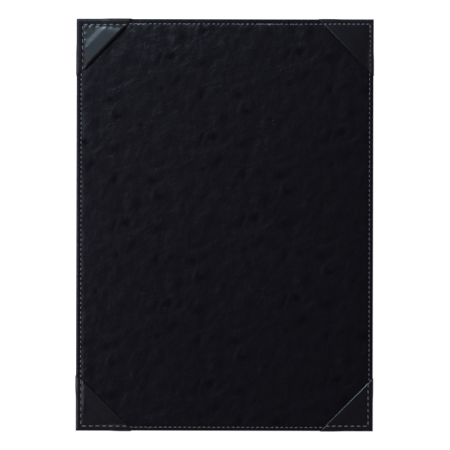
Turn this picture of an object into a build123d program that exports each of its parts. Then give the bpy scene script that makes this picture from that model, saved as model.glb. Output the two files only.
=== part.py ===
from build123d import *
from dataclasses import dataclass
import math
import os

# A stiff single-panel menu cover that shows one sheet, held by a leatherette pocket at each corner.
# All sizes are in millimetres. The panel lies on its back, front face up (+Z), with the head of the
# menu towards +Y and the origin on the table under its middle.

# The sheet that the pockets hold, and the panel left showing round it
sheet_width = 210.0
sheet_height = 297.0
sheet_margin = 7.5

# Thickness of each ply
cover_leather = 0.5
pocket_leather = 0.4
core_thickness = 2.0
foam_thickness = 0.8

# The board's corners in plan, which the padding's rolled edge matches, and the bevel of the fold
# where the cover turns under at the back
edge_radius = min(0.45, 0.9 * foam_thickness)
back_bevel = 0.9 * cover_leather

# How far each ply reaches over the back, and how far its edge is pared
turn_in = 15.0
flap_depth = 12.0
skive = 1.5
mitre_gap = 0.4
back_inset = 1.5
back_corner = 1.0

# The panel's own seam, in a channel that its tension presses into the padding
panel_seam_inset = 3.0
panel_pitch = 3.66
channel_width = 3.0
channel_depth = 0.3

# The thread: each stitch is a short bar between two needle holes
thread_width = 0.5
thread_height = 0.45
needle_hole = 0.75
stitch_slope = 60.0
bobbin_height = 0.2
bed_clearance = 0.05
pocket_bed = 0.15

# The corner pockets as they are meant to be: legs along the panel's edges, seams and mouth.
# The list of pockets below says how each corner was really sewn.
pocket_leg = 42.5
pocket_seam_inset = 3.7
pocket_pitch = 4.9
mouth_lift = 0.9

# The pockets' mouths: a hem turned under, the web free of the seam, and the fold's bevel
hem_width = 8.0
web_clearance = 0.6
fold_bevel = 0.25
arch_chords = 12


@dataclass
class Pocket:
    """One corner pocket: which corner it is on, and its own sizes as sewn."""

    name: str
    side: int  # -1 on the left, 1 on the right
    end: int  # 1 at the head, -1 at the foot
    leg_across: float  # along the head or foot edge
    leg_down: float  # along the left or right edge
    seam_from_end: float
    seam_from_side: float
    pitch: float
    lift: float  # how far the middle of the mouth stands off the panel


pockets = [
    Pocket(
        "pocket_top_left", side=-1, end=1,
        leg_across=pocket_leg - 0.1, leg_down=pocket_leg + 1.4,
        seam_from_end=pocket_seam_inset + 0.1, seam_from_side=pocket_seam_inset + 0.9,
        pitch=pocket_pitch + 0.2, lift=2 * mouth_lift,
    ),
    Pocket(
        "pocket_top_right", side=1, end=1,
        leg_across=pocket_leg - 0.3, leg_down=pocket_leg + 0.8,
        seam_from_end=panel_seam_inset + 0.2, seam_from_side=panel_seam_inset - 0.1,
        pitch=panel_pitch, lift=mouth_lift,
    ),
    Pocket(
        "pocket_bottom_left", side=-1, end=-1,
        leg_across=pocket_leg, leg_down=pocket_leg,
        seam_from_end=pocket_seam_inset, seam_from_side=pocket_seam_inset + 0.7,
        pitch=pocket_pitch - 0.1, lift=1.3 * mouth_lift,
    ),
    Pocket(
        "pocket_bottom_right", side=1, end=-1,
        leg_across=pocket_leg - 0.9, leg_down=pocket_leg - 0.8,
        seam_from_end=pocket_seam_inset + 0.8, seam_from_side=pocket_seam_inset,
        pitch=pocket_pitch, lift=mouth_lift,
    ),
]

# Outline and levels, worked out from the values above
panel_width = sheet_width + 2 * sheet_margin
panel_height = sheet_height + 2 * sheet_margin
flap_level = cover_leather
turn_in_level = flap_level + pocket_leather
core_level = turn_in_level + cover_leather
foam_level = core_level + core_thickness
cover_level = foam_level + foam_thickness
face_level = cover_level + cover_leather
pocket_level = face_level + pocket_leather
cover_roll = edge_radius + cover_leather
bed_width = thread_width + 2 * bed_clearance

# A tool body that has to pass through the panel's outline reaches this far beyond it
beyond = 10.0


def corner_point(pocket, from_side, from_end):
    """Point in plan, by its distances in from the pocket's two edges of the panel."""
    x = pocket.side * (panel_width / 2 - from_side)
    y = pocket.end * (panel_height / 2 - from_end)
    return (x, y)


def mouth_across(pocket, from_end):
    """How far from the side edge the mouth crosses a line parallel to the head or foot edge."""
    return pocket.leg_across * (1 - from_end / pocket.leg_down)


def mouth_down(pocket, from_side):
    """How far from the head or foot edge the mouth crosses a line parallel to the side edge."""
    return pocket.leg_down * (1 - from_side / pocket.leg_across)


def corner_triangle(pocket, trim):
    """The triangle that a pocket covers, drawn out past the edges, its mouth trimmed back."""
    across = pocket.leg_across - trim
    down = pocket.leg_down - trim
    return [
        corner_point(pocket, -beyond, -beyond),
        corner_point(pocket, across * (1 + beyond / down), -beyond),
        corner_point(pocket, -beyond, down * (1 + beyond / across)),
    ]


def block(grow, bottom, top, bevel):
    """A block of the panel's outline grown by a ply, rolled over at the front, bevelled at the back."""
    roll = cover_roll + grow
    with BuildPart() as body:
        with BuildSketch(Plane.XY.offset(bottom)):
            RectangleRounded(panel_width + 2 * grow, panel_height + 2 * grow, roll)
        extrude(amount=top - bottom)
        fillet(body.edges().group_by(Axis.Z)[-1], radius=roll)
        if bevel > 0:
            chamfer(body.edges().group_by(Axis.Z)[0], length=bevel)
    return body.part


def window():
    """The space on the back inside the turned-in edge, which is pared to nothing along it."""
    with BuildPart() as space:
        for level, reach in ((turn_in_level, turn_in - skive), (core_level, turn_in)):
            with BuildSketch(Plane.XY.offset(level)):
                Rectangle(panel_width - 2 * reach, panel_height - 2 * reach)
        loft(ruled=True)
    return space.part


def flap(pocket):
    """The strips of a pocket that lie on the back, pared along their inner edges and ends."""
    with BuildPart() as strips:
        for level, trim in ((flap_level, skive * math.sqrt(2)), (turn_in_level, 0)):
            with BuildSketch(Plane.XY.offset(level)):
                Polygon(*corner_triangle(pocket, trim), align=None)
        loft(ruled=True)
        far = pocket.leg_across + pocket.leg_down
        for level, near in ((flap_level, flap_depth - skive), (turn_in_level, flap_depth)):
            with BuildSketch(Plane.XY.offset(level)):
                space = ((near, near), (far, near), (far, far), (near, far))
                Polygon(*[corner_point(pocket, *corner) for corner in space], align=None)
        loft(ruled=True, mode=Mode.SUBTRACT)
    return strips.part


def mitre(pocket, reach, bottom, top):
    """The slit where two turned edges meet at a corner of the back, along its diagonal."""
    near = cover_leather + back_bevel
    middle = (near + reach) / 2
    diagonal = Plane(origin=(*corner_point(pocket, middle, middle), bottom), x_dir=(pocket.side, pocket.end, 0))
    with BuildPart() as slit:
        with BuildSketch(diagonal):
            Rectangle((reach - near) * math.sqrt(2), mitre_gap)
        extrude(amount=top - bottom)
    return slit.part


def mouth_arch(pocket, rise, level, bevel):
    """A cone from the seams' corner out to an arch over the pocket's mouth, as bent leather lies.

    The arch is half a sine wave, drawn as short chords. With a bevel, it stops short of the mouth by
    that much and is carried on outwards and down, as the leather's fold is.
    """
    start_side = pocket.seam_from_side + web_clearance
    start_end = pocket.seam_from_end + web_clearance
    tip = Vector(*corner_point(pocket, start_side, start_end), level)
    first = Vector(*corner_point(pocket, mouth_across(pocket, start_end), start_end), level)
    last = Vector(*corner_point(pocket, start_side, mouth_down(pocket, start_side)), level)
    outward = Vector(-pocket.side * pocket.leg_down, -pocket.end * pocket.leg_across).normalized()
    reach = 1 - bevel / outward.dot(first - tip)
    chord = (last - first) * reach
    mouth = Plane(origin=tip + (first - tip) * reach, x_dir=chord, z_dir=chord.cross(Vector(0, 0, 1)))
    with BuildSketch(mouth, mode=Mode.PRIVATE) as section:
        shares = [i / arch_chords for i in range(arch_chords + 1)]
        points = [(chord.length * share, rise * math.sin(math.pi * share)) for share in shares]
        with BuildLine():
            Polyline(*points, close=True)
        make_face()
    arch_face = section.sketch.face()
    sections = [Vertex(tip), arch_face]
    if bevel > 0:
        sections.append(arch_face.moved(Location(outward * bevel - Vector(0, 0, bevel))))
    with BuildPart() as arch:
        loft(sections, ruled=True)
    return arch.part


def panel_runs():
    """Start and end in plan of the panel's seam along each edge, between the pockets' mouths."""
    inset = panel_seam_inset
    top_left, top_right, bottom_left, bottom_right = pockets
    runs = []
    for left, right in ((top_left, top_right), (bottom_left, bottom_right)):
        start = corner_point(left, mouth_across(left, inset), inset)
        runs.append((start, corner_point(right, mouth_across(right, inset), inset)))
    for low, high in ((bottom_left, top_left), (bottom_right, top_right)):
        start = corner_point(low, inset, mouth_down(low, inset))
        runs.append((start, corner_point(high, inset, mouth_down(high, inset))))
    return runs


def pocket_runs(pocket, stop):
    """Start and end of a pocket's two seams, from their corner to a stop short of its mouth."""
    side = pocket.seam_from_side
    end = pocket.seam_from_end
    corner = corner_point(pocket, side, end)
    return [
        (corner, corner_point(pocket, mouth_across(pocket, end) - stop, end)),
        (corner, corner_point(pocket, side, mouth_down(pocket, side) - stop)),
    ]


def stitch(pitch, height):
    """One stitch, a bar with sloping ends that stands on its level, or hangs under it if turned over."""
    with BuildPart() as bar:
        with BuildSketch(Plane.XZ):
            Trapezoid(pitch - needle_hole, height, stitch_slope, align=(Align.CENTER, Align.MIN))
        extrude(amount=thread_width / 2, both=True)
    return bar.part


def stitch_places(runs, pitch, level):
    """Where the stitches of some runs go: evenly spaced along each run, as near the pitch as fits."""
    places = []
    for start, end in runs:
        run = Vector(*end) - Vector(*start)
        count = round(run.length / pitch)
        for i in range(count):
            middle = Vector(*start) + run * ((i + 0.5) / count)
            places.append(Plane(origin=(middle.X, middle.Y, level), x_dir=run).location)
    return places


def thread_bed(start, end, level, depth):
    """The straight groove that a run of stitches lies in, cut up or down from a level."""
    run = Vector(*end) - Vector(*start)
    middle = (Vector(*start) + Vector(*end)) / 2
    with BuildPart() as bed:
        with BuildSketch(Plane(origin=(middle.X, middle.Y, level), x_dir=run)):
            Rectangle(run.length, bed_width)
        extrude(amount=depth)
    return bed.part


def pressed_channel(level):
    """Shallow hollows along the panel's seam, with their open side at a level."""
    with BuildPart() as hollows:
        for start, end in panel_runs():
            run = Vector(*end) - Vector(*start)
            across = Vector(0, 0, 1).cross(run)
            with BuildSketch(Plane(origin=(*start, level), x_dir=across, z_dir=run)):
                with BuildLine():
                    Line((-channel_width / 2, 0), (channel_width / 2, 0))
                    ThreePointArc((channel_width / 2, 0), (0, -channel_depth), (-channel_width / 2, 0))
                make_face()
            extrude(amount=run.length)
    return hollows.part


def back_relief(drop):
    """The stepped back that the back cover is laid on: board, turned-in edge and pocket flaps."""
    with BuildPart() as relief:
        with BuildSketch(Plane.XY.offset(turn_in_level)):
            Rectangle(panel_width + beyond, panel_height + beyond)
        extrude(amount=cover_leather)
        add(window(), mode=Mode.SUBTRACT)
        with BuildSketch(Plane.XY.offset(core_level)):
            Rectangle(panel_width + beyond, panel_height + beyond)
        extrude(amount=core_thickness)
        for pocket in pockets:
            add(flap(pocket))
    return relief.part.moved(Location((0, 0, -drop)))


# The board that makes the panel stiff, and the padding glued to its face
with BuildPart() as core_board:
    with BuildSketch(Plane.XY.offset(core_level)):
        RectangleRounded(panel_width - 2 * cover_leather, panel_height - 2 * cover_leather, edge_radius)
    extrude(amount=core_thickness)

with BuildPart() as foam_padding:
    add(block(-cover_leather, foam_level, cover_level, 0))
    add(pressed_channel(cover_level), mode=Mode.SUBTRACT)

# The front cover goes over the padding, round the edges and in over the back, with mitred corners.
# Its seam channel sinks the whole ply: the same hollow is cut from its face and added underneath.
with BuildPart() as front_cover:
    add(block(0, turn_in_level, face_level, back_bevel))
    add(block(-cover_leather, core_level, cover_level, 0), mode=Mode.SUBTRACT)
    add(window(), mode=Mode.SUBTRACT)
    add(pressed_channel(face_level), mode=Mode.SUBTRACT)
    add(pressed_channel(cover_level))
    for pocket in pockets:
        add(mitre(pocket, turn_in, turn_in_level, core_level), mode=Mode.SUBTRACT)

# The back cover is one sheet that follows the steps of what lies under it
with BuildPart() as back_cover:
    with BuildSketch():
        width = panel_width - 2 * back_inset
        RectangleRounded(width, panel_height - 2 * back_inset, back_corner)
    extrude(amount=core_level)
    add(back_relief(cover_leather), mode=Mode.INTERSECT)
    add(back_relief(0), mode=Mode.SUBTRACT)
    for start, end in panel_runs():
        add(thread_bed(start, end, turn_in_level - cover_leather, bobbin_height), mode=Mode.SUBTRACT)
    for pocket in pockets:
        for start, end in pocket_runs(pocket, 2 * skive):
            add(thread_bed(start, end, 0, bobbin_height), mode=Mode.SUBTRACT)

# A ply wrapped over the whole panel, from which each pocket takes its corner
with BuildPart() as wrap:
    add(block(pocket_leather, flap_level, pocket_level, back_bevel + pocket_leather))
    add(block(0, turn_in_level, face_level, back_bevel), mode=Mode.SUBTRACT)


def sewn_pocket(shape):
    """One pocket: a flat rim sewn down, an arched web with a hem, and flaps on the back."""
    with BuildPart() as space:
        # The room under the web, less the hem that is turned under along the mouth
        add(mouth_arch(shape, shape.lift, face_level, 0))
        with BuildSketch(Plane.XY.offset(face_level)):
            Polygon(*corner_triangle(shape, 0), align=None)
            Polygon(*corner_triangle(shape, hem_width * math.sqrt(2)), align=None, mode=Mode.SUBTRACT)
        extrude(amount=shape.lift, mode=Mode.SUBTRACT)
        add(mouth_arch(shape, shape.lift - pocket_leather, face_level, 0))

    with BuildPart() as back_waste:
        with BuildSketch(Plane.XY.offset(flap_level)):
            Polygon(*corner_triangle(shape, 0), align=None)
        extrude(amount=pocket_leather)
        add(flap(shape), mode=Mode.SUBTRACT)

    with BuildPart() as piece:
        with BuildSketch(Plane.XY.offset(flap_level)):
            Polygon(*corner_triangle(shape, 0), align=None)
        extrude(amount=pocket_level - flap_level)
        add(wrap.part, mode=Mode.INTERSECT)
        add(mouth_arch(shape, shape.lift, pocket_level, fold_bevel))
        add(space.part, mode=Mode.SUBTRACT)
        add(back_waste.part, mode=Mode.SUBTRACT)
        add(mitre(shape, flap_depth, flap_level, turn_in_level), mode=Mode.SUBTRACT)
        for start, end in pocket_runs(shape, 0):
            add(thread_bed(start, end, pocket_level, -pocket_bed), mode=Mode.SUBTRACT)
    piece.part.label = shape.name
    return piece.part


# The seams: needle thread on the front, bobbin thread drawn flush into the back cover
with BuildPart() as panel_seam_needle_thread:
    with Locations(*stitch_places(panel_runs(), panel_pitch, face_level - channel_depth + bed_clearance)):
        add(stitch(panel_pitch, thread_height))

with BuildPart() as panel_seam_bobbin_thread:
    with Locations(*stitch_places(panel_runs(), panel_pitch, turn_in_level - cover_leather)):
        add(stitch(panel_pitch, bobbin_height))

with BuildPart() as pocket_seam_needle_thread:
    for pocket in pockets:
        with Locations(*stitch_places(pocket_runs(pocket, 0), pocket.pitch, pocket_level - pocket_bed)):
            add(stitch(pocket.pitch, thread_height))

with BuildPart() as pocket_seam_bobbin_thread:
    for pocket in pockets:
        with Locations(*stitch_places(pocket_runs(pocket, 2 * skive), pocket.pitch, 0)):
            add(stitch(pocket.pitch, bobbin_height))

core_board.part.label = "core_board"
foam_padding.part.label = "foam_padding"
front_cover.part.label = "front_cover"
back_cover.part.label = "back_cover"
panel_seam_needle_thread.part.label = "panel_seam_needle_thread"
panel_seam_bobbin_thread.part.label = "panel_seam_bobbin_thread"
pocket_seam_needle_thread.part.label = "pocket_seam_needle_thread"
pocket_seam_bobbin_thread.part.label = "pocket_seam_bobbin_thread"

os.makedirs("parts", exist_ok=True)
export_step(core_board.part, "parts/core_board.step")
export_step(foam_padding.part, "parts/foam_padding.step")
export_step(front_cover.part, "parts/front_cover.step")
export_step(back_cover.part, "parts/back_cover.step")
export_step(panel_seam_needle_thread.part, "parts/panel_seam_needle_thread.step")
export_step(panel_seam_bobbin_thread.part, "parts/panel_seam_bobbin_thread.step")
export_step(pocket_seam_needle_thread.part, "parts/pocket_seam_needle_thread.step")
export_step(pocket_seam_bobbin_thread.part, "parts/pocket_seam_bobbin_thread.step")
for pocket in pockets:
    export_step(sewn_pocket(pocket), f"parts/{pocket.name}.step")
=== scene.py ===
import math
from dataclasses import dataclass

import bmesh
import bpy
import numpy as np
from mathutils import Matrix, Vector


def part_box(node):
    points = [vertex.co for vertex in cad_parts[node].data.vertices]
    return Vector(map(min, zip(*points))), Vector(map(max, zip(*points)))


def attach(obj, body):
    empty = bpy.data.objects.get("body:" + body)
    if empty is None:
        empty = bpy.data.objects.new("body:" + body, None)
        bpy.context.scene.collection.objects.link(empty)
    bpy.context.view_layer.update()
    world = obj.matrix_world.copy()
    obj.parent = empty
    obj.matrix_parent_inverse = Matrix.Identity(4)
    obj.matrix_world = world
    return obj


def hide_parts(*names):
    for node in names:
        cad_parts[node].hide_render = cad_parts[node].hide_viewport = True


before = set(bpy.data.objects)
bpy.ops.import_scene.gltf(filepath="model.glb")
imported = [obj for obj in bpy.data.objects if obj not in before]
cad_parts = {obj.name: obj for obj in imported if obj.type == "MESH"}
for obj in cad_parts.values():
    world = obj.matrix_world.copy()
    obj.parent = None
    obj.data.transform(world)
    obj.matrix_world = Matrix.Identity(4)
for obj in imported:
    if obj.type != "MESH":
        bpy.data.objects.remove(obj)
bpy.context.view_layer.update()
scene = bpy.context.scene

# The visible skin of a menu cover: a padded panel in embossed leatherette, four smooth corner
# pockets folded round its edges, lockstitch seams, and the lining on its back.
# Sizes are in millimetres, and mesh_piece() turns them into metres. Lights and the camera stand at
# places in metres.
METRE = 1000.0


def corners_of(node):
    """A CAD node's lowest and highest corner, in millimetres."""
    low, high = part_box(node)
    return np.array(low) * METRE, np.array(high) * METRE


# Outline and levels, read from the frame
cover_low, cover_high = corners_of("front_cover")
half_width, half_height, face_level = cover_high
turn_in_level = cover_low[2]
core_level, foam_level = (corner[2] for corner in corners_of("core_board"))
cover_level = corners_of("foam_padding")[1][2]
lining_high = corners_of("back_cover")[1]
cover_leather = face_level - cover_level
lining_leather = core_level - turn_in_level

# Reach of each ply over the back, the width over which its edge is pared, and the flaps' thickness
turn_in = 15.0
flap_depth = 12.0
skive = 1.5
pocket_flap = 0.4

# The panel's rolled rim: where its crest lies, its soft fall and its tight corner down to the side,
# two levels on the side, and the radius of the fold under the back
crest_inset = 1.9
rim_fall = 0.36
rim_corner = 0.9
cover_side_levels = [2.8, 2.1]
back_fold = 0.5

# The panel's seam, whose rectangle lies a little off the panel's middle, and its pressed channel
panel_seam_inset = 3.3
seam_middle = np.array([0.32, -0.475])
seam_half_width = half_width - panel_seam_inset
seam_half_height = half_height - panel_seam_inset
panel_pitch = 3.66
channel_depth = 0.2
channel_outer_slope = 0.55
channel_inner_slope = 1.3
needle_dimple = 0.45

# How far the face falls at the sides and at the head, how far it rises at the foot, and how far in
# from the seam that starts
side_fall = 0.28
side_reach = 8.0
head_fall = 1.0
head_reach = 16.0
foot_rise = 0.35
foot_reach = 8.0
crest_level = face_level - side_fall

# Spacing of the panel's points: three to a stitch, enough for the dimples at its needle holes
panel_step = panel_pitch / 3

# How far the pockets press the panel in, at their mouths, on its face and at its edges, and over
# what widths
mouth_dip = 0.15
mouth_dip_width = 2.2
pressed_face = 0.5
pressed_edge = 0.2
pressed_width = 8.0

# The pockets' rim: how far their ply lies over the face and stands out past the sides, where its
# crest lies, its soft fall, two levels on the side, and the radius of the fold under the back
pocket_rise = 0.15
pocket_stand = 0.14
pocket_crest = 2.0
pocket_rim_fall = 0.6
pocket_side_levels = [1.9, 2.8]
pocket_fold = 0.6

# Pockets: the ply, its share that is left on the back, and the hem turned under at the mouth, with
# how much of its thickness stands out at the fold under the back and at both levels of the side
pocket_ply = 0.35
flap_ply = 0.5
hem_width = 10.5
hem_slope = 6.5
hem_at_fold = 0.4
hem_at_side = [0.6, 0.8]

# The pockets' webs: the mouth's rounding, the places where a web's slope is given, as shares of the
# way to the mouth, how deep its corner is pressed in, how near a seam the leather puckers, and the
# share of the way from which the puckers fade
lip_power = 1.1
web_places = [0, 0.06, 0.3, 0.42, 0.5, 0.6, 1.0]
corner_sink = 0.22
pucker_reach = 0.6
pucker_fade = 0.8

# The lining: how deep the panel's and the pockets' seams press it, and how widely, how much of the
# grain it keeps, how much of its thickness is pared off at its edge, and the least that is left
lining_channel_depth = 0.12
lining_channel_slope = 0.9
back_channel_depth = 0.4
back_channel_slope = 1.0
lining_grain = 0.6
lining_paring = 0.3
lining_paring_width = 0.5
lining_thinnest = 0.1

# Thread: radius, the middle of its stitches over the leather, how much deeper they lie on sides and
# how deep in the lining, and the level of the pockets' stitches on the back
thread_radius = 0.28
pocket_thread_radius = 0.36
thread_level = 0.205
side_thread_sink = 0.295
pocket_thread_level = 0.25
lining_thread_sink = 0.16
pocket_back_thread_level = 0.28

# A stitch's length as a share of its pitch, how deep the groove between its two plies is, how far
# they turn and how flat they lie, how it tapers and slants, and how deep its ends dive
stitch_length = 0.68
ply_groove = 0.16
ply_turn = 2.4
thread_flatness = 0.85
stitch_taper = 0.35
stitch_slant = 0.03
stitch_bite = 0.55
panel_back_bite = 0.3
pocket_back_bite = 0.2

# Embossing: the roll repeats the grain at these two steps. Its soft hills have periods between two
# limits. They grow with a power of their period, and shrink faster below the broad one. A mark as
# high as the scale changes the gloss in full.
roll_repeat = np.array([[31.65, -60.9], [97.2, 3.98]])
longest_wave = 22.0
shortest_wave = 3.2
broad_wave = 11.0
wave_power = 1.2
hill_height = 0.08
mark_scale = 0.3

# Where the embossing is drawn flat: from the rim inwards, and at the lining's edge and its bend
rim_calm_start = 0.5
rim_calm_width = 5.0
lining_calm_width = 3.0
bend_calm_width = 1.5

# The photograph's view: straight down, from a distance in metres, with the panel turned by less
# than a degree
view_width = 340.7
view_shift = 0.23
view_distance = 3.0
view_turn = 0.14

# Colours of the surroundings, and the heights between which one turns into the other
dark_ceiling = (0.055, 0.0475, 0.0625)
pale_horizon = (0.24, 0.24, 0.25)
horizon_top = 0.35
ceiling_start = 0.8


@dataclass
class Pocket:
    """One corner pocket: which corner it is on, and its own sizes as sewn."""

    name: str
    side: int  # -1 on the left, 1 on the right
    end: int  # 1 at the head, -1 at the foot
    leg_across: float
    leg_down: float
    seam_from_end: float
    seam_from_side: float
    pitch: float
    end_channel: float  # how deep its seam along the end presses the leather
    side_channel: float  # and its seam along the side
    side_sink: float  # how much deeper the stitches along its side are drawn in
    lift: float  # how far the middle of the mouth stands off the panel
    crown: float  # how flat the web is across: the power of its arch
    hem_ply: float = 0.3  # how much the hem thickens the fold
    lip: float = 0.34  # how far the web falls at its mouth
    lip_run: float = 1.1  # and over what length
    hem_mark: float = 10.5  # how far in from the mouth the hem's inner edge shows
    channel_slope: float = 1.15  # width of its channels
    pucker: float = 0.05  # how far the leather swells between stitches
    skew: float = 1.0  # above 1, the web's arch leans towards its seam along the end
    slopes: tuple = (0, 1, 1, 1, 1, 1, 1)  # how steeply the web rises at each of web_places
    creases: tuple = ()  # start and end, each in from the side and the end, height and width

    @property
    def depth(self):
        """Distance from the panel's corner to the mouth."""
        return self.leg_across * self.leg_down / math.hypot(self.leg_across, self.leg_down)

    def place(self, from_side, from_end):
        """Plan position of points given by their distances in from the pocket's two edges."""
        return self.side * (half_width - from_side), self.end * (half_height - from_end)

    def from_edges(self, x, y):
        """Distances of points in from the pocket's side and from its end."""
        return half_width - self.side * x, half_height - self.end * y

    def inside(self, x, y):
        """How far points lie inside the mouth's line, towards the panel's corner."""
        from_side, from_end = self.from_edges(x, y)
        return (1 - from_side / self.leg_across - from_end / self.leg_down) * self.depth

    def mouth_across(self, from_end):
        """How far in from the side the mouth lies, at a distance in from the end."""
        return self.leg_across * (1 - from_end / self.leg_down)

    def mouth_down(self, from_side):
        """How far in from the end the mouth lies, at a distance in from the side."""
        return self.leg_down * (1 - from_side / self.leg_across)


pockets = [
    Pocket(
        "pocket_top_left", side=-1, end=1, leg_across=42.8, leg_down=44.3,
        seam_from_end=4.5, seam_from_side=4.6, pitch=5.0,
        end_channel=0.3, side_channel=0.5, channel_slope=0.65, side_sink=0.36,
        lift=2.45, crown=8, hem_ply=0.32, hem_mark=15.3, lip=0.5, lip_run=1.7, pucker=0.42,
    ),
    Pocket(
        "pocket_top_right", side=1, end=1, leg_across=41.8, leg_down=42.9,
        seam_from_end=3.7, seam_from_side=2.7, pitch=panel_pitch,
        end_channel=0.3, side_channel=0.2, side_sink=0.42,
        lift=2.8, crown=2, skew=0.75, lip=0.32, lip_run=0.85,
    ),
    Pocket(
        "pocket_bottom_left", side=-1, end=-1, leg_across=43.2, leg_down=43.2,
        seam_from_end=3.6, seam_from_side=3.9, pitch=4.93,
        end_channel=0.15, side_channel=0.2, channel_slope=0.8, side_sink=0.34,
        lift=1.8, crown=9, skew=0.8, hem_ply=0.4, lip=0.75, lip_run=1.8, pucker=0.12,
        slopes=(0, 1.8, 1.5, 1.2, 1.1, 0.9, 0.4),
        creases=(((6.0, 22.0), (6.3, 16.0), 0.35, 1.4), ((7.6, 18.5), (15.5, 10.5), 0.3, 1.6)),
    ),
    Pocket(
        "pocket_bottom_right", side=1, end=-1, leg_across=40.5, leg_down=40.6,
        seam_from_end=3.9, seam_from_side=3.6, pitch=4.93,
        end_channel=0.2, side_channel=0.15, side_sink=0.3,
        lift=0.6, crown=3, lip=0.5, lip_run=1.05, pucker=0.1,
    ),
]


@dataclass
class Mark:
    """One mark of the embossing: a ridge, or a hollow where its height is below zero."""

    x: float
    y: float
    heading: float  # degrees, anticlockwise from the cover's width
    length: float  # width of the bell curve along it
    width: float  # width of the bell curve across it
    height: float
    bend: float = 0.0  # how fast its line curves to the left at both ends


grain_marks = [
    Mark(42.5, 36.9, 0, 2.5, 2.5, -0.36),
    Mark(48.6, 24.7, -10, 2.7, 1.9, -0.36),
    Mark(23.2, 5.1, 30, 2.9, 2.6, -0.38),
    Mark(14.1, 37.9, 80, 3.2, 2.2, -0.26),
    Mark(66.0, 18.1, 30, 2.2, 1.9, -0.22),
    Mark(-15.8, 41.8, 60, 2.4, 2.0, -0.2),
    Mark(25.8, 40.6, 30, 2.0, 1.7, -0.15),
    Mark(13.7, 3.8, 72, 6.0, 1.8, -0.14),
    Mark(32.2, 19.4, 0, 3.0, 3.0, -0.12),
    Mark(46.2, 0.1, 30, 5.0, 3.2, -0.2),
    Mark(28.7, -11.4, 20, 5.0, 3.2, -0.16),
    Mark(43.0, 27.3, 70, 5.5, 1.2, 0.26, -0.012),
    Mark(16.6, 4.0, 74, 6.5, 1.4, 0.08, -0.01),
    Mark(33.0, -0.5, 35, 8.0, 1.5, 0.15, 0.03),
    Mark(24.3, 47.4, 17, 13.0, 0.9, 0.1),
    Mark(-0.6, -15.6, 27, 10.0, 0.9, 0.09),
    Mark(40.7, 44.6, 10, 4.5, 0.9, 0.12, -0.08),
    Mark(57.1, 42.2, 40, 4.0, 0.9, 0.08),
    Mark(69.2, 11.9, 65, 5.0, 1.1, 0.1),
    Mark(-12.3, 11.8, 0, 1.5, 1.5, 0.09),
    Mark(24.8, 18.8, 50, 3.0, 1.0, 0.11),
]


def smooth(value):
    """A step that eases from 0 to 1 as the value goes from 0 to 1."""
    value = np.clip(value, 0.0, 1.0)
    return value * value * (3 - 2 * value)


def bell(distance, width):
    """A bell curve of a distance: 1 in the middle, and 1/e at the width."""
    return np.exp(-((distance / width) ** 2))


def rim_roll(count, soft_fall=rim_fall):
    """A rolled rim from its crest to its side: how far along it lies inwards, and its fall.

    With t going from 0 to a quarter turn, the place is 1 - sin t of the crest's inset, and the
    fall is the soft fall times sin t squared plus the tight corner times (1 - cos t) cubed.
    """
    turn = np.linspace(0, math.pi / 2, count)
    fall = soft_fall * np.sin(turn) ** 2 + rim_corner * (1 - np.cos(turn)) ** 3
    return 1 - np.sin(turn), fall


def mesh_piece(name, points, faces, triangles=(), **attributes):
    """A smooth mesh from points in millimetres, faces of four corners and faces of three.

    Coincident points are welded, and the faces turned outwards.
    """
    mesh = bpy.data.meshes.new(name)
    all_faces = np.asarray(faces).tolist() + np.asarray(triangles).tolist()
    mesh.from_pydata((np.asarray(points) / METRE).tolist(), [], all_faces)
    for attribute, values in attributes.items():
        layer = mesh.attributes.new(attribute, "FLOAT", "POINT")
        layer.data.foreach_set("value", np.asarray(values, np.float32).ravel())
    whole = bmesh.new()
    whole.from_mesh(mesh)
    bmesh.ops.remove_doubles(whole, verts=whole.verts, dist=1e-7)
    bmesh.ops.recalc_face_normals(whole, faces=whole.faces)
    whole.to_mesh(mesh)
    whole.free()
    mesh.shade_smooth()
    piece = bpy.data.objects.new(name, mesh)
    scene.collection.objects.link(piece)
    return piece


def quads(index):
    """Faces between neighbours of a grid of point numbers."""
    corners = [index[:-1, :-1], index[1:, :-1], index[1:, 1:], index[:-1, 1:]]
    return np.stack(corners, -1).reshape(-1, 4)


def outline(index):
    """The numbers along a grid's four sides in turn, the first one repeated at the end."""
    return np.concatenate([index[:-1, 0], index[-1, :-1], index[:0:-1, -1], index[0, ::-1]])


def spread(half, near_edge, step):
    """Positions from -half to half: given distances in from each edge, and even steps between."""
    inner = half - near_edge[-1]
    count = round(2 * inner / step)
    middle = np.linspace(-inner, inner, count + 1)[1:-1]
    rim = half - np.array(near_edge)
    return np.concatenate([-rim, middle, rim[::-1]])


def plan_grid(half_across, half_down, near_edge, step):
    """A grid over a rectangle round the middle, with lines at given distances in from its edges."""
    lines = [spread(half, near_edge, step) for half in (half_across, half_down)]
    return np.meshgrid(*lines, indexing="ij")


def from_nearest(x, y, half_across=half_width, half_down=half_height):
    """Distance of points in from the nearest edge of a rectangle, the panel's own unless given."""
    return np.minimum(half_across - np.abs(x), half_down - np.abs(y))


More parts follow.
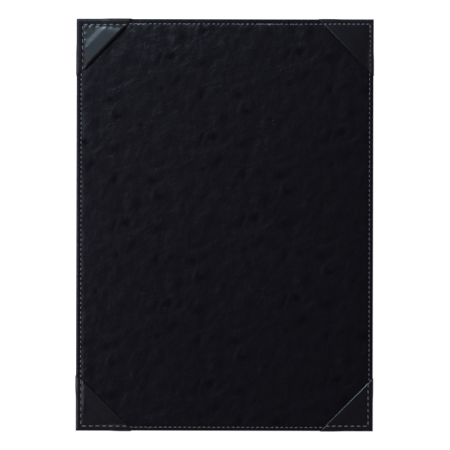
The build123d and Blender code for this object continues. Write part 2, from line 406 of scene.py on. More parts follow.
class Grain:
    """The embossed grain, which repeats with the embossing roll.

    Soft hills are a sum of waves, each a whole-number combination of the roll's reciprocal
    vectors, with a random amplitude that grows with its period. On them lie the roll's marks,
    each a bell curve along its line times a bell curve across it.
    """

    def __init__(self, seed, start):
        chance = np.random.default_rng(seed)
        self.start = np.array(start)
        reciprocal = np.linalg.inv(roll_repeat).T
        reach = np.arange(-40, 41)
        whole = np.stack(np.meshgrid(reach, reach), -1).reshape(-1, 2)
        waves = whole @ reciprocal
        rate = np.hypot(*waves.T)
        kept = (rate > 1 / longest_wave) & (rate < 1 / shortest_wave) & (waves[:, 1] >= 0)
        rate = rate[kept]
        self.waves = (2 * math.pi * waves[kept]).astype(np.float32)
        self.phases = chance.uniform(0, 2 * math.pi, len(rate)).astype(np.float32)
        by_period = rate**-wave_power / np.sqrt(1 + (rate * broad_wave) ** 2)
        strength = chance.rayleigh(1.0, len(rate)) * by_period
        self.strength = (strength / np.sqrt((strength**2).sum() / 2)).astype(np.float32)

    def hills(self, x, y):
        """The sum of waves at every point, with a standard deviation of one."""
        places = np.stack([x.ravel(), y.ravel()], 1).astype(np.float32)
        parts = [
            np.cos(part @ self.waves.T + self.phases) @ self.strength
            for part in np.array_split(places, max(1, len(places) // 4096))
        ]
        return np.concatenate(parts).reshape(x.shape)

    def marks(self, x, y):
        """Every repeat of every mark, summed."""
        total = np.zeros_like(x)
        reach = np.arange(-5, 6)
        repeats = np.stack(np.meshgrid(reach, reach), -1).reshape(-1, 2) @ roll_repeat + self.start
        for mark in grain_marks:
            turn = math.radians(mark.heading)
            for place in repeats + (mark.x, mark.y):
                if np.any(np.abs(place) > np.array([half_width, half_height]) + mark.length):
                    continue
                from_x, from_y = x - place[0], y - place[1]
                along = from_x * math.cos(turn) + from_y * math.sin(turn)
                upward = from_y * math.cos(turn) - from_x * math.sin(turn) - mark.bend * along**2
                total += mark.height * bell(along, mark.length) * bell(upward, mark.width)
        return total

    def height(self, x, y):
        """Height of the grain over the leather's mean surface, and its marks from -1 to 1."""
        marks = self.marks(x, y)
        return hill_height * self.hills(x, y) + marks, np.clip(marks / mark_scale, -1, 1)


def pressed(x, y):
    """How deep the pockets press the panel at points: none at the mouth, full well inside it."""
    return np.max([smooth(pocket.inside(x, y) / pressed_width) for pocket in pockets], axis=0)


def dipped(x, y):
    """How far the panel has dipped on its way under a mouth: none before it, full from it on."""
    return np.max([smooth(pocket.inside(x, y) / mouth_dip_width + 1) for pocket in pockets], axis=0)


def edge_falls(x, y):
    """How far the face has fallen: by an exponential of the distance to each edge's seam."""
    past_side = np.abs(x - seam_middle[0]) - seam_half_width
    past_head = y - seam_middle[1] - seam_half_height
    past_foot = seam_middle[1] - y - seam_half_height
    by_side = side_fall * np.exp(np.minimum(past_side, 0) / side_reach)
    by_head = head_fall * np.exp(np.minimum(past_head, 0) / head_reach)
    return by_side + by_head - foot_rise * np.exp(np.minimum(past_foot, 0) / foot_reach)


def face_height(x, y):
    """Level of the panel's face: nearly flat, with the seam's channel and dimples along the rim.

    The channel is a bell curve of the distance from the seam, steeper outside than inside, times a
    cosine with the stitches' pitch. The pockets press the face down at their mouths and inside.
    """
    along_x = x - seam_middle[0]
    along_y = y - seam_middle[1]
    past_side = np.abs(along_x) - seam_half_width
    past_end = np.abs(along_y) - seam_half_height
    on_side = past_side > past_end
    past = np.maximum(past_side, past_end)
    phase = np.where(on_side, along_y, along_x) / panel_pitch
    slope = np.where(past > 0, channel_outer_slope, channel_inner_slope)
    holes = 1 + needle_dimple * np.cos(2 * math.pi * phase)
    dip = dipped(x, y)
    sewn = channel_depth * bell(past, slope) * holes * (1 - dip)
    return face_level - edge_falls(x, y) - sewn - mouth_dip * dip - pressed_face * pressed(x, y)


def under_face(x, y):
    """Level of the leather's underside: a ply under the face, and rolled down towards the rim."""
    inset = from_nearest(x, y) - cover_leather
    roll, fall = rim_roll(20)
    drop = np.interp(inset / (crest_inset - cover_leather), roll[::-1], fall[::-1])
    return face_height(x, y) - cover_leather - drop


def rim_rings():
    """The front cover's rings past its face: each one's inset and level, and what moves it.

    They follow the rolled rim from its crest down to the side, the side, a quarter circle under the
    back and the turned-in edge, whose inner face brings them back to the board's side. The first
    share is how far a ring is pressed in with the edge, the second how far it follows the crest.
    """
    roll, fall = (values[1:] for values in rim_roll(9))
    under = np.linspace(0, math.pi / 2, 5)
    on_back = [1.5, 5.0, 10.0, turn_in]
    inside = [turn_in, cover_leather]
    flat = np.zeros(len(on_back) + len(inside))
    insets = np.concatenate([
        crest_inset * roll, [0, 0], back_fold * (1 - np.cos(under)), on_back, inside,
    ])
    levels = np.concatenate([
        crest_level - fall,
        cover_side_levels,
        turn_in_level + back_fold * (1 - np.sin(under)),
        [turn_in_level] * len(on_back),
        [core_level] * len(inside),
    ])
    edge_share = np.concatenate([1 - roll, [1, 1], np.cos(under), flat])
    crest_share = np.concatenate([1 - fall / fall[-1], np.zeros(2 + len(under)), flat])
    return zip(insets, levels, edge_share, crest_share)


def front_cover():
    """The front cover: a grid over its face, then rings round the rim, under the back and inside.

    The rings are the grid's own outline, drawn in or out to each one's inset. The last ones follow
    the underside of the face, a ply away, and close in one point under its middle.
    """
    near_edge = [crest_inset, 2.2, 2.5, 2.8, 3.1, 3.45, 3.9, 4.5, 5.3, 6.2]
    x, y = plan_grid(half_width, half_height, near_edge, panel_step)
    height, marks = grain.height(x, y)
    rim_calm = smooth((from_nearest(x, y) - rim_calm_start) / rim_calm_width)
    level = face_height(x, y) + height * rim_calm
    index = np.arange(x.size).reshape(x.shape)
    loop = outline(index)[:-1]
    start_x, start_y, start_level = (values.ravel()[loop] for values in (x, y, level))
    sunk = pressed_edge * pressed(start_x, start_y)

    def drawn(inset, edge=0):
        """The outline in plan at an inset, pressed in by a share of what the pockets press."""
        scale_x = (half_width - inset - sunk * edge) / (half_width - crest_inset)
        scale_y = (half_height - inset - sunk * edge) / (half_height - crest_inset)
        return start_x * scale_x, start_y * scale_y

    rings = [
        np.stack([*drawn(inset, edge), ring_level + (start_level - crest_level) * crest], -1)
        for inset, ring_level, edge, crest in rim_rings()
    ]
    inner_insets = [cover_leather, 1.0, 1.9, 3.1, 5.0, 8.0, 12.0, 17.0, 24.0, 32.0]
    for inset in inner_insets:
        ring_x, ring_y = drawn(inset)
        rings.append(np.stack([ring_x, ring_y, under_face(ring_x, ring_y)], -1))
    face = np.stack([x, y, level], -1).reshape(-1, 3)
    points = np.concatenate([face, *rings, [[0.0, 0.0, cover_level]]])
    numbers = x.size + np.arange(len(rings) * len(loop)).reshape(len(rings), -1)
    numbers = np.concatenate([loop[None], numbers])
    bands = quads(np.concatenate([numbers, numbers[:, :1]], 1))
    last = numbers[-1]
    fan = np.stack([last, np.roll(last, -1), np.full(len(last), len(points) - 1)], -1)
    mark = np.zeros(len(points))
    mark[:x.size] = (marks * rim_calm).ravel()
    faces = np.concatenate([quads(index), bands])
    return mesh_piece("front_cover_leatherette", points, faces, fan, mark=mark)


def slab(name, x, y, lower, upper, **attributes):
    """A closed sheet between two height fields over one grid."""
    low = np.stack([x, y, lower], -1).reshape(-1, 3)
    high = np.stack([x, y, upper], -1).reshape(-1, 3)
    index = np.arange(x.size).reshape(x.shape)
    edge = outline(index)
    rim = quads(np.stack([edge, edge + x.size]))
    faces = np.concatenate([quads(index), quads(index + x.size), rim])
    doubled = {key: np.concatenate([value.ravel()] * 2) for key, value in attributes.items()}
    return mesh_piece(name, np.concatenate([low, high]), faces, **doubled)


def padding():
    """The foam under the face: flat below, and a ply under the cover's face above."""
    near_edge = [cover_leather, 1.0, 1.5, 2.2, 3.0, 3.8, 5.0]
    thinnest = 0.05
    x, y = plan_grid(half_width, half_height, near_edge, 3.0)
    top = np.maximum(under_face(x, y), foam_level + thinnest)
    return slab("padding", x, y, np.full_like(x, foam_level), top)


def flap_share(x, y):
    """1 where a pocket's flap lies under the lining, 0 elsewhere, easing over the pared edge."""
    def under(pocket):
        from_flap_end = flap_depth - np.minimum(*pocket.from_edges(x, y))
        return smooth(np.minimum(from_flap_end, pocket.inside(x, y)) / skive)
    return np.max([under(pocket) for pocket in pockets], axis=0)


def pocket_seam_press(x, y):
    """1 along the pockets' seams, and falling by a bell curve of the distance from them."""
    def away(pocket):
        from_side, from_end = pocket.from_edges(x, y)
        side, end = pocket.seam_from_side, pocket.seam_from_end
        past_side = from_end - np.clip(from_end, end, pocket.mouth_down(side))
        past_end = from_side - np.clip(from_side, side, pocket.mouth_across(end))
        return np.minimum(np.hypot(from_side - side, past_side), np.hypot(from_end - end, past_end))
    return bell(np.min([away(pocket) for pocket in pockets], axis=0), back_channel_slope)


def lining():
    """The back's lining: one sheet laid over the board, the turned-in edge and the pocket flaps.

    Its grain is drawn flat at its edge, and half flat where it bends over the turned-in edge.
    """
    near_edge = [0.0, 0.35, 0.7, 1.05, 1.4, 1.8, 2.2, 2.7, 3.3]
    across, down = lining_high[:2]
    x, y = plan_grid(across, down, near_edge, 1.4)
    inset = from_nearest(x, y)
    edge = from_nearest(x, y, across, down)
    flaps = flap_share(x, y)
    over_edge = smooth((turn_in - inset) / skive)
    top = core_level - (core_level - turn_in_level) * over_edge - pocket_flap * flaps
    sewn = lining_channel_depth * bell(inset - panel_seam_inset, lining_channel_slope) * (1 - flaps)
    sewn = sewn + back_channel_depth * pocket_seam_press(x, y)
    height, marks = back_grain.height(x, y)
    calm = smooth(edge / lining_calm_width)
    bend_calm = 1 - 0.5 * bell(inset - turn_in + skive / 2, bend_calm_width)
    lower = top - lining_leather + sewn + lining_grain * height * calm * bend_calm
    pared = 0.5 * lining_paring * lining_leather * (1 - smooth(edge / lining_paring_width))
    lower = np.maximum(lower, 0.0) + pared
    upper = np.maximum(top - pared, lower + lining_thinnest)
    return slab("back_cover_leatherette", x, y, lower, upper, mark=marks * calm)


def rim_profile(pocket):
    """A pocket's profile round the panel's edge, from its pared end on the back up to its seam.

    It gives distance in from the edge, level, the outward direction, how much of the ply's
    thickness is left, how much of the hem's thickness stands out, and 1 where it is on the face.
    """
    under = np.linspace(0, math.pi / 2, 6)
    roll, fall = (values[::-1] for values in rim_roll(11, pocket_rim_fall))
    on_back = [flap_depth, flap_depth - skive, 8.0, 5.0, 2.5]
    on_face = np.linspace(pocket_crest, pocket.seam_from_side, 10)[1:]
    round_edge = len(under) + len(pocket_side_levels) + len(roll)
    flap_level = turn_in_level - pocket_flap
    top = face_level + pocket_rise
    inset = np.concatenate([
        on_back,
        pocket_fold * (1 - np.sin(under)) - pocket_stand,
        [-pocket_stand] * len(pocket_side_levels),
        (pocket_crest + pocket_stand) * roll - pocket_stand,
        on_face,
    ])
    level = np.concatenate([
        [turn_in_level] + [flap_level] * (len(on_back) - 1),
        flap_level + pocket_fold * (1 - np.cos(under)),
        pocket_side_levels,
        top - fall,
        np.full(len(on_face), top),
    ])
    steps_in, steps_up = np.gradient(inset), np.gradient(level)
    turned = np.hypot(steps_in, steps_up)
    flat = np.repeat([True, False, True], [len(on_back), round_edge, len(on_face)])
    out = np.where(flat, 0, steps_up / turned)
    up = np.where(flat, np.sign(steps_in), steps_in / turned)
    ply = np.concatenate([
        [0] + [flap_ply] * (len(on_back) - 1),
        flap_ply + (1 - flap_ply) * np.sin(under),
        np.ones(round_edge - len(under) + len(on_face)),
    ])
    hem = np.concatenate([
        np.zeros(len(on_back)),
        hem_at_fold * np.sin(under),
        hem_at_side,
        1 - (1 - hem_at_side[-1]) * fall / fall[0],
        np.ones(len(on_face)),
    ])
    facing_up = np.repeat([0, 0, 1], [len(on_back), round_edge, len(on_face)])
    return inset, level, out, up, ply, hem, facing_up


def web_lift(pocket, reach):
    """How far the web has risen, as a share of its lift, by the share of the way to the mouth.

    It is the sum of a slope that is drawn as straight lines between a few places, less how far the
    corner is pressed in, which starts just inside the corner's own stitch.
    """
    fine = np.linspace(0, 1.1, 221)
    rise = np.cumsum(np.interp(fine, web_places, pocket.slopes))
    share = np.interp(reach, fine, rise / np.interp(1.0, fine, rise))
    return share * (1 + corner_sink) - corner_sink * smooth(reach / web_places[1])


def crease_height(pocket, from_side, from_end):
    """Straight soft ridges over the web, each a bell curve of the distance from its line."""
    total = np.zeros_like(from_side)
    for start, end, height, width in pocket.creases:
        start, run = np.array(start), np.array(end) - np.array(start)
        length = np.hypot(*run)
        along = ((from_side - start[0]) * run[0] + (from_end - start[1]) * run[1]) / length
        across = ((from_end - start[1]) * run[0] - (from_side - start[0]) * run[1]) / length
        past = np.abs(along - length / 2) - length / 2
        total += height * bell(across, width) * bell(np.maximum(past, 0), 2 * width)
    return total


def hem_rise(pocket, reach):
    """How far the hem lifts the ply over it, less the lip's fall, by the share of the way out."""
    place = reach * pocket.depth
    start = pocket.depth - pocket.hem_mark - hem_slope / 2
    lip = pocket.lip * np.clip((place - pocket.depth) / pocket.lip_run + 1, 0, 1) ** lip_power
    return pocket.hem_ply * smooth((place - start) / hem_slope) - lip


def seam_channels(pocket, from_side, from_end):
    """How deep the seams press: each by a bell curve, which fades out past the other seam."""
    side_gap = from_side - pocket.seam_from_side
    end_gap = from_end - pocket.seam_from_end
    slope = pocket.channel_slope
    side_dip = bell(side_gap, slope) * bell(np.minimum(end_gap, 0), slope)
    end_dip = bell(end_gap, slope) * bell(np.minimum(side_gap, 0), slope)
    deep = pocket.side_channel * side_dip + pocket.end_channel * end_dip
    both = 1 - (1 - side_dip) * (1 - end_dip)
    return both * deep / np.maximum(side_dip + end_dip, 1e-6)


def puckers(pocket, from_seam, along):
    """Swellings beside a seam between its needle holes: of d e^(1 - d) times a cosine along it."""
    near = from_seam / pucker_reach
    return -near * np.exp(1 - near) * np.cos(2 * math.pi * along / pocket.pitch)


def web_points(pocket, reach, sunk):
    """The web's points in from the side and the end, and their level, without those on its seams.

    A row runs parallel to the mouth. The web rises by an arch across the row times its lift towards
    the mouth, with the hem, the puckers and the creases on it, and its seams pull it down.
    """
    side, end = pocket.seam_from_side, pocket.seam_from_end
    share = 0.5 - 0.5 * np.cos(math.pi * np.linspace(0, 1, 61)[1:-1])
    past_side = reach * (pocket.mouth_across(end) - side) * share
    past_end = reach * (pocket.mouth_down(side) - end) * (1 - share)
    from_side, from_end = side + past_side, end + past_end
    arch = (1 - np.abs(2 * share**pocket.skew - 1) ** pocket.crown) * web_lift(pocket, reach)
    swollen = puckers(pocket, past_side, past_end) + puckers(pocket, past_end, past_side)
    level = face_level + pocket_rise - seam_channels(pocket, from_side, from_end)
    level = level + hem_rise(pocket, reach) - sunk + pocket.lift * arch
    fading = 1 - smooth((reach - pucker_fade) / (1 - pucker_fade))
    level = level + 0.5 * pocket.pucker * swollen * fading
    return from_side, from_end, level + crease_height(pocket, from_side, from_end)


def pocket_skin(pocket, reach, sunk):
    """A grid of a pocket's points: across it from flap to flap, and from corner to mouth.

    reach is the share of the way from the corner to the mouth for each row, and sunk how far the
    row lies under the outer surface. A row runs up the side's profile, over the web and down the
    end's profile. In the corner the profiles meet point by point on a line from seam to corner.
    """
    inset, level, out, up, ply, hem, on_face = rim_profile(pocket)
    reach = reach[:, None]
    sunk = sunk[:, None]
    push = hem_rise(pocket, reach) * hem - sunk * ply
    inner = inset - push * out
    ratio = pocket.seam_from_end / pocket.seam_from_side
    spaced = np.where((inner > 0) & (up > 0), inner * ratio, inner)

    def strip(near, corner, mouth, on_end):
        """The strip past one seam, which runs from the corner to the mouth."""
        along = corner + reach * (mouth - corner)
        places = (along, near) if on_end else (near, along)
        return *places, level + push * up - seam_channels(pocket, *places) * on_face

    side_strip = strip(inner, spaced, pocket.mouth_down(inner), False)
    end_strip = strip(spaced, inner, pocket.mouth_across(spaced), True)
    parts = zip(side_strip, web_points(pocket, reach, sunk), (part[:, ::-1] for part in end_strip))
    from_side, from_end, height = (np.concatenate(part, 1) for part in parts)
    return np.stack([*pocket.place(from_side, from_end), height], -1)


def pocket_piece(pocket):
    """A pocket as one closed skin: out to the mouth, round its fold, back under the hem, and in."""
    fold = (pocket_ply + pocket.hem_ply) / 2
    last = 1 - fold / pocket.depth
    hem_end = 1 - hem_width / pocket.depth
    lip_start = 1 - (pocket.lip_run + fold) / pocket.depth
    turn = np.linspace(0, math.pi, 9)[1:-1]
    round_fold = last + fold / pocket.depth * np.sin(turn)
    inner = hem_end * np.linspace(0, 1, 38)
    lip = np.linspace(lip_start, last, 8)[1:]
    over_hem = np.concatenate([np.linspace(hem_end, lip_start, 10), lip])
    reach = np.concatenate([inner, over_hem[1:], round_fold, over_hem[::-1], inner[::-1]])
    sunk = np.concatenate([
        np.zeros(len(inner) + len(over_hem) - 1),
        fold * (1 - np.cos(turn)),
        np.full(len(over_hem), 2 * fold),
        np.full(len(inner), pocket_ply),
    ])
    grid = pocket_skin(pocket, reach, sunk)
    index = np.arange(grid.shape[0] * grid.shape[1]).reshape(grid.shape[:2])
    return mesh_piece(pocket.name + "_leatherette", grid.reshape(-1, 3), quads(index))


def panel_runs():
    """Start and end in plan of the panel's seam along each edge, between the pockets' mouths."""
    top_left, top_right, bottom_left, bottom_right = pockets

    def on_end(pocket):
        inset = panel_seam_inset - pocket.end * seam_middle[1]
        return pocket.place(pocket.mouth_across(inset), inset)

    def on_side(pocket):
        inset = panel_seam_inset - pocket.side * seam_middle[0]
        return pocket.place(inset, pocket.mouth_down(inset))

    return [
        (on_end(top_left), on_end(top_right)),
        (on_end(bottom_left), on_end(bottom_right)),
        (on_side(bottom_left), on_side(top_left)),
        (on_side(bottom_right), on_side(top_right)),
    ]


def pocket_runs(pocket, stop):
    """Start and end of a pocket's two seams, from their corner to a stop short of its mouth."""
    side, end = pocket.seam_from_side, pocket.seam_from_end
    corner = pocket.place(side, end)
    return [
        (corner, pocket.place(pocket.mouth_across(end) - stop, end)),
        (corner, pocket.place(side, pocket.mouth_down(side) - stop)),
    ]


def panel_seam_level(x, y):
    """Level of the panel's stitches on the front, which follow the fallen face."""
    on_side = half_width - np.abs(x) < half_height - np.abs(y)
    leather = face_level - edge_falls(x, y) - channel_depth * (1 - needle_dimple)
    return leather + thread_level - side_thread_sink * on_side


def pocket_seam_level(pocket):
    """A function that gives the level of a pocket's stitches on the front."""
    def level(x, y):
        from_side = pocket.from_edges(x, y)[0]
        reach = 1 - pocket.inside(x, y) / pocket.depth
        on_side = np.abs(from_side - pocket.seam_from_side) < 0.01
        channel = np.where(on_side, pocket.side_channel, pocket.end_channel)
        leather = face_level + pocket_rise - channel + hem_rise(pocket, reach)
        return leather + pocket_thread_level - pocket.side_sink * on_side
    return level


def even_level(level):
    """A function that gives one level everywhere, for the stitches on the back."""
    return lambda x, y: np.full_like(x, level)


def stitches(runs, pitch, level_at, facing=1, bite=stitch_bite, thick=thread_radius):
    """Twisted bars along some runs, one per stitch: a tube of two plies that dives at both ends.

    A bar's section is a circle with two lobes, by a cosine of twice the angle, that turns along it
    and narrows by the sixth power of the distance from its middle. Its middle line is flat and
    falls at both ends, by the bite times the fourth power of that distance.
    """
    along = np.linspace(-1, 1, 9)[:, None]
    around = np.arange(8)[None, :] * math.pi / 4
    radius = thick * (1 + ply_groove * np.cos(2 * (around - ply_turn * along)))
    radius = radius * (1 - stitch_taper * np.abs(along) ** 6)
    local_across = radius * np.cos(around)
    local_up = radius * thread_flatness * np.sin(around) - bite * np.abs(along) ** 4
    bars = []
    for start, end in runs:
        run = np.array(end) - start
        length = np.hypot(*run)
        forward = run / length
        sideways = np.array([-forward[1], forward[0]])
        count = round(length / pitch)
        half = length / count / 2
        middles = start + run * ((np.arange(count) + 0.5) / count)[:, None]
        shape_along = np.broadcast_to(along * half * stitch_length, local_up.shape)
        shape_across = local_across + stitch_slant * along * half
        shape = shape_along[..., None] * forward + shape_across[..., None] * sideways
        plan = middles[:, None, None] + shape
        level = level_at(middles[:, 0], middles[:, 1])[:, None, None]
        bars.append(np.concatenate([plan, (level + facing * local_up)[..., None]], -1))
    return np.concatenate(bars)


def pocket_stitches(stop, level_of, **sizes):
    """The stitches of every pocket's two seams, up to a stop short of the mouths."""
    return np.concatenate([
        stitches(pocket_runs(pocket, stop), pocket.pitch, level_of(pocket), **sizes)
        for pocket in pockets
    ])


def thread_piece(name, bars):
    """Every bar of some seams as one mesh, each closed by a small cap at both ends."""
    count, rings, sides = bars.shape[:3]
    ring = np.arange(rings * sides).reshape(rings, sides)
    side_faces = quads(np.concatenate([ring, ring[:, :1]], 1))
    caps = np.array([ring[0, [0, 1, 2, 3]], ring[0, [3, 4, 7, 0]], ring[0, [4, 5, 6, 7]]])
    far_caps = caps + ring[-1, 0]
    template = np.concatenate([side_faces, caps, far_caps])
    faces = (template[None] + (np.arange(count) * rings * sides)[:, None, None]).reshape(-1, 4)
    return mesh_piece(name, bars.reshape(-1, 3), faces)


def operator_pair(operation):
    """Two methods that add a Math node: an operator's own, and its reflected form."""
    return (
        lambda self, other: self.maths(operation, self, other),
        lambda self, other: self.maths(operation, other, self),
    )


class Signal:
    """A number that varies over a surface. Arithmetic on it adds Math nodes to its shader tree."""

    __add__, __radd__ = operator_pair("ADD")
    __sub__, __rsub__ = operator_pair("SUBTRACT")
    __mul__, __rmul__ = operator_pair("MULTIPLY")

    def __init__(self, nodes, socket):
        self.nodes = nodes
        self.socket = socket

    def maths(self, operation, *values):
        """A Math node on some values, in their order."""
        return self.nodes.add("ShaderNodeMath", {"operation": operation}, dict(enumerate(values)))

    def size(self):
        """The number without its sign."""
        return self.maths("ABSOLUTE", self)

    def between(self, low, high):
        """0 below low, 1 above high, and eased between."""
        settings = {"interpolation_type": "SMOOTHSTEP"}
        sockets = {"Value": self, "From Min": low, "From Max": high}
        return self.nodes.add("ShaderNodeMapRange", settings, sockets)


class Nodes:
    """A shader tree in the making. add() makes a node from its settings and its sockets' values."""

    def __init__(self, tree):
        self.tree = tree

    def add(self, kind, settings, sockets, output=0):
        node = self.tree.nodes.new(kind)
        for name, value in settings.items():
            setattr(node, name, value)
        for name, value in sockets.items():
            self.connect(node.inputs[name], value)
        return Signal(self, node.outputs[output])

    def connect(self, socket, value):
        if isinstance(value, Signal):
            self.tree.links.new(value.socket, socket)
        else:
            socket.default_value = value

    def blend(self, share, low, high):
        """A colour between two, by a share from 0 to 1."""
        low, high = (end if isinstance(end, Signal) else (*end, 1.0) for end in (low, high))
        sockets = {"Factor": share, 6: low, 7: high}
        return self.add("ShaderNodeMix", {"data_type": "RGBA"}, sockets, output=2)


class Finish(Nodes):
    """A material in the making, with what its surface needs."""

    def __init__(self, name):
        self.material = bpy.data.materials.new(name)
        self.material.use_nodes = True
        super().__init__(self.material.node_tree)
        self.shader = self.tree.nodes["Principled BSDF"]
        self.places = self.add("ShaderNodeTexCoord", {}, {}, output="Object")

    def set(self, **sockets):
        """Sets the shader's sockets, whose names have underscores for spaces here."""
        for name, value in sockets.items():
            self.connect(self.shader.inputs[name.replace("_", " ")], value)

    def noise(self, period, detail=2.0, roughness=0.5):
        """Cloudy noise of a period in millimetres."""
        sockets = {"Scale": METRE / period, "Detail": detail, "Roughness": roughness}
        return self.add("ShaderNodeTexNoise", {}, {"Vector": self.places, **sockets}, output="Fac")

    def cells(self, size):
        """Cells of a size in millimetres, by the distance from their edges."""
        settings = {"feature": "DISTANCE_TO_EDGE"}
        sockets = {"Vector": self.places, "Scale": METRE / size}
        return self.add("ShaderNodeTexVoronoi", settings, sockets, output="Distance")

    def bump(self, height, depth, strength=1.0):
        """A normal tilted by a height from 0 to 1 that stands for a depth in millimetres."""
        sockets = {"Height": height, "Distance": depth / METRE, "Strength": strength}
        return self.add("ShaderNodeBump", {}, sockets, output="Normal")

    def attribute(self, name):
        """A number that the mesh holds at its points."""
        return self.add("ShaderNodeAttribute", {"attribute_name": name}, {}, output="Fac")

    def stretched(self, turn, along, across):
        """Places on the surface, turned by an angle and drawn out to sizes in millimetres."""
        settings = {"vector_type": "TEXTURE"}
        sockets = {
            "Vector": self.places,
            "Rotation": (0.0, 0.0, turn),
            "Scale": (along / METRE, across / METRE, across / METRE),
        }
        return self.add("ShaderNodeMapping", settings, sockets)


def embossed_leatherette(name, light, dark):
    """Soft black leatherette: soft lumps on a pebble grain, patches of slanting wrinkles, a cloudy
    tone, and painted shade in the grain's grooves and hollows.
    """
    finish = Finish(name)
    pebbles = finish.cells(0.9).between(0.0, 0.22)
    medium = finish.noise(2.6)
    clouds = finish.noise(16.0, detail=4.0, roughness=0.6).between(0.3, 0.7)
    worn = finish.noise(9.0, detail=3.0)
    patches = finish.noise(21.0, detail=1.0).between(0.42, 0.62)
    long_marks = finish.stretched(math.radians(24), 6.5, 1.25)
    sockets = {"Vector": long_marks, "Scale": 1.0, "Detail": 1.0, "Distortion": 0.25}
    wrinkles = finish.add("ShaderNodeTexNoise", {}, sockets, output="Fac")
    lines = (1 - (wrinkles * 2 - 1).size() * 4).between(0.0, 1.0)
    height = pebbles * 0.08 + medium * 1.5 + lines * patches * 0.2
    # Painted shade: the colour is darker where the pebbles' grooves and the medium noise's hollows
    # lie low in the bump, over a cloudy tone of its own.
    tone_and_groove_shade = clouds * 0.25 + pebbles * 0.5 + medium * 0.25
    colour = finish.blend(tone_and_groove_shade.between(0.1, 0.9), dark, light)
    roughness = 0.335 - pebbles * 0.02 + worn * 0.08 + finish.attribute("mark") * 0.15
    finish.set(Base_Color=colour, Roughness=roughness, Normal=finish.bump(height, 0.12))
    return finish.material


def smooth_leatherette(name, light, dark):
    """The pockets' smoother and glossier leatherette: a very fine grain, faint rub marks, and
    painted shade in the grain's grooves.
    """
    finish = Finish(name)
    pebbles = finish.cells(0.6).between(0.0, 0.3)
    fine = finish.noise(0.9, detail=3.0)
    rubbed = finish.noise(7.0, detail=3.0).between(0.35, 0.75)
    # The colour mixes the rub marks with painted shade, darker along the pebbles' low grooves.
    colour = finish.blend(rubbed * 0.6 + pebbles * 0.4, dark, light)
    roughness = 0.33 - rubbed * 0.03 + fine * 0.03
    height = pebbles * 0.6 + fine * 0.4
    finish.set(Base_Color=colour, Roughness=roughness, Normal=finish.bump(height, 0.012, 0.5))
    finish.set(Specular_IOR_Level=0.7)
    return finish.material


def sewing_thread(name, light, dark):
    """Grey twisted thread with a fuzz of loose fibres."""
    finish = Finish(name)
    fibres = finish.noise(0.12)
    shade = finish.noise(2.6, detail=1.0)
    colour = finish.blend(fibres * 0.5 + shade * 0.5, dark, light)
    finish.set(Base_Color=colour, Roughness=0.62 + fibres * 0.2)
    finish.set(Normal=finish.bump(fibres, 0.03, 0.7))
    return finish.material


def grey_board(name):
    """Pressed grey board, flecked with fibres."""
    finish = Finish(name)
    flecks = finish.noise(0.8, detail=4.0).between(0.35, 0.7)
    colour = finish.blend(flecks, (0.16, 0.15, 0.13), (0.3, 0.28, 0.25))
    finish.set(Base_Color=colour, Roughness=0.85 + flecks * 0.1, Normal=finish.bump(flecks, 0.03))
    return finish.material


def foam(name):
    """Off-white foam with open pores, painted darker in them as shade."""
    finish = Finish(name)
    pores = finish.cells(0.7).between(0.0, 0.25)
    # Painted shade: the pores, which the bump sinks, are painted darker than the foam itself.
    colour = finish.blend(pores, (0.35, 0.34, 0.31), (0.72, 0.71, 0.67))
    finish.set(Base_Color=colour, Roughness=0.9 + pores * 0.05, Normal=finish.bump(pores, 0.08))
    return finish.material


def dress(piece, material, slot_name, *nodes):
    """Gives a piece its finish, fixes it to the one body and lets it stand for its CAD nodes."""
    piece.data.materials.append(material)
    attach(piece, "root")
    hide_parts(*nodes)
    return piece


def make_floor():
    """A wide white floor just under the object, bright enough to show no edge."""
    reach, level = 8000.0, -0.1
    corners = np.array([(-1, -1), (1, -1), (1, 1), (-1, 1)]) * reach
    floor = mesh_piece("floor", np.insert(corners, 2, level, axis=1), [[0, 1, 2, 3]])
    finish = Finish("floor_white")
    finish.set(Base_Color=(0.8, 0.8, 0.8, 1.0), Roughness=0.9)
    finish.set(Emission_Color=(1.0, 1.0, 1.0, 1.0), Emission_Strength=0.95)
    floor.data.materials.append(finish.material)


def make_light(name, place, size, power, colour):
    """A square soft light at a place in metres, aimed at the middle of the panel."""
    lamp = bpy.data.lights.new(name, "AREA")
    lamp.shape = "SQUARE"
    lamp.size = size
    lamp.energy = power
    lamp.color = colour
    light = bpy.data.objects.new(name, lamp)
    light.location = place
    light.rotation_mode = "QUATERNION"
    light.rotation_quaternion = light.location.to_track_quat("Z", "Y")
    light.visible_camera = False
    scene.collection.objects.link(light)


def make_world():
    """Surroundings that are dark overhead and pale low down, and plain white to the camera."""
    world = bpy.data.worlds.new("studio")
    world.use_nodes = True
    room = Nodes(world.node_tree)
    direction = room.add("ShaderNodeTexCoord", {}, {}, output="Generated")
    height = room.add("ShaderNodeSeparateXYZ", {}, {0: direction}, output="Z")
    around = room.blend(height.between(horizon_top, ceiling_start), pale_horizon, dark_ceiling)
    to_camera = room.add("ShaderNodeLightPath", {}, {}, output="Is Camera Ray")
    seen = room.blend(to_camera, around, (1.0, 1.0, 1.0))
    room.connect(world.node_tree.nodes["Background"].inputs["Color"], seen)
    scene.world = world


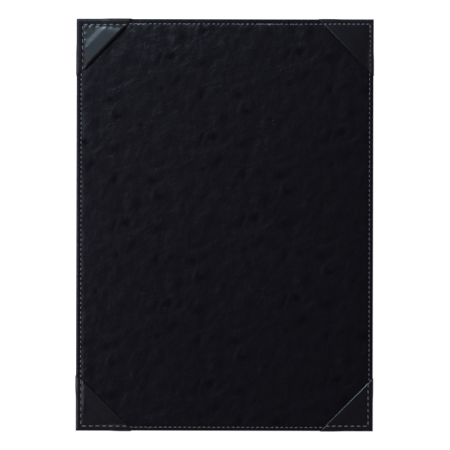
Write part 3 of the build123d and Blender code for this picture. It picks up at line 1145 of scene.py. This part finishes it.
def make_camera():
    """A long lens straight above the middle of the panel."""
    lens = bpy.data.cameras.new("camera")
    lens.sensor_width = 36.0
    lens.lens = lens.sensor_width * view_distance * METRE / view_width
    camera = bpy.data.objects.new("camera", lens)
    camera.location = (view_shift / METRE, 0.0, view_distance + face_level / METRE)
    camera.rotation_euler = (0.0, 0.0, math.radians(view_turn))
    scene.collection.objects.link(camera)
    scene.camera = camera


grain = Grain(5, (0, 0))
back_grain = Grain(5, (43, 17))

black_cover = embossed_leatherette(
    "cover_leatherette", light=(0.009, 0.0066, 0.011), dark=(0.005, 0.0036, 0.006)
)
black_pocket = smooth_leatherette(
    "pocket_leatherette", light=(0.017, 0.0145, 0.018), dark=(0.011, 0.0095, 0.012)
)
grey_thread = sewing_thread("thread", light=(0.46, 0.46, 0.48), dark=(0.24, 0.24, 0.25))

front = dress(front_cover(), black_cover, "cover_leatherette", "front_cover")
pad = dress(padding(), foam("padding"), "padding", "foam_padding")
back = dress(lining(), black_cover, "cover_leatherette", "back_cover")
corner_pockets = [
    dress(pocket_piece(pocket), black_pocket, "pocket_leatherette", pocket.name)
    for pocket in pockets
]

panel_back_level = even_level(turn_in_level - lining_leather + lining_thread_sink)
pocket_back_level = even_level(pocket_back_thread_level)
front_bars = stitches(panel_runs(), panel_pitch, panel_seam_level)
back_bars = stitches(panel_runs(), panel_pitch, panel_back_level, -1, panel_back_bite)
pocket_bars = pocket_stitches(0, pocket_seam_level, thick=pocket_thread_radius)
pocket_back_bars = pocket_stitches(
    2 * skive, lambda pocket: pocket_back_level, facing=-1, bite=pocket_back_bite
)
for name, bars, node in (
    ("panel_seam_stitches", front_bars, "panel_seam_needle_thread"),
    ("panel_seam_back_stitches", back_bars, "panel_seam_bobbin_thread"),
    ("pocket_seam_stitches", pocket_bars, "pocket_seam_needle_thread"),
    ("pocket_seam_back_stitches", pocket_back_bars, "pocket_seam_bobbin_thread"),
):
    dress(thread_piece(name, bars), grey_thread, "thread", node)

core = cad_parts["core_board"]
core.data.materials.clear()
core.data.materials.append(grey_board("board"))

make_floor()
make_world()
make_light("left_light", (-0.57, -0.04, 0.575), size=0.2, power=1.15, colour=(0.84, 0.8, 1.0))
make_light("head_light", (-0.38, 0.57, 0.65), size=0.2, power=2.9, colour=(0.6, 0.83, 1.0))
make_camera()
scene.view_settings.view_transform = "Standard"
